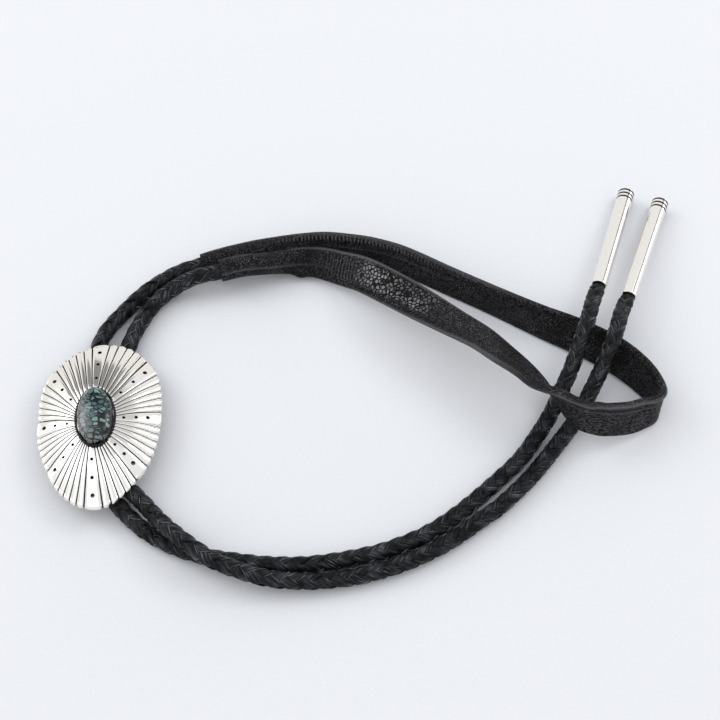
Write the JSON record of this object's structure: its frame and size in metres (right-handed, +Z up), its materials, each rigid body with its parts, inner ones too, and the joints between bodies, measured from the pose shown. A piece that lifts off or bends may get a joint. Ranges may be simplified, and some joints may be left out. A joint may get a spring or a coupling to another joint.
{
  "type": "bolo tie",
  "caption": "Bolo tie: an oval fluted silver concho with a turquoise stone on two braided leather cords, with silver tips and a folded leather neck strap.",
  "frame": {"origin": "on the table under the middle of the tie, measured without its two cords", "axes": "+X from the concho towards the strap's turn and the tips, +Y the way the tips point, +Z up from the table"},
  "size_m": [0.2153, 0.1561, 0.0218],
  "materials": {
    "silver": "polished sterling silver with darkened grooves",
    "clasp_metal": "plain nickel silver",
    "turquoise": "polished turquoise cabochon with a black web matrix",
    "cord_leather": "black leather lace in a round eight-strand braid, semi-gloss",
    "strap_leather": "black kid leather with a fine pebble grain, soft sheen"
  },
  "bodies": {
    "root": {"concho": "silver", "stone": "turquoise", "back_clasp": "clasp_metal", "cord_left": "cord_leather", "cord_right": "cord_leather", "neck_strap": "strap_leather", "tip_left": "silver", "tip_right": "silver"}
  },
  "joints": []
}
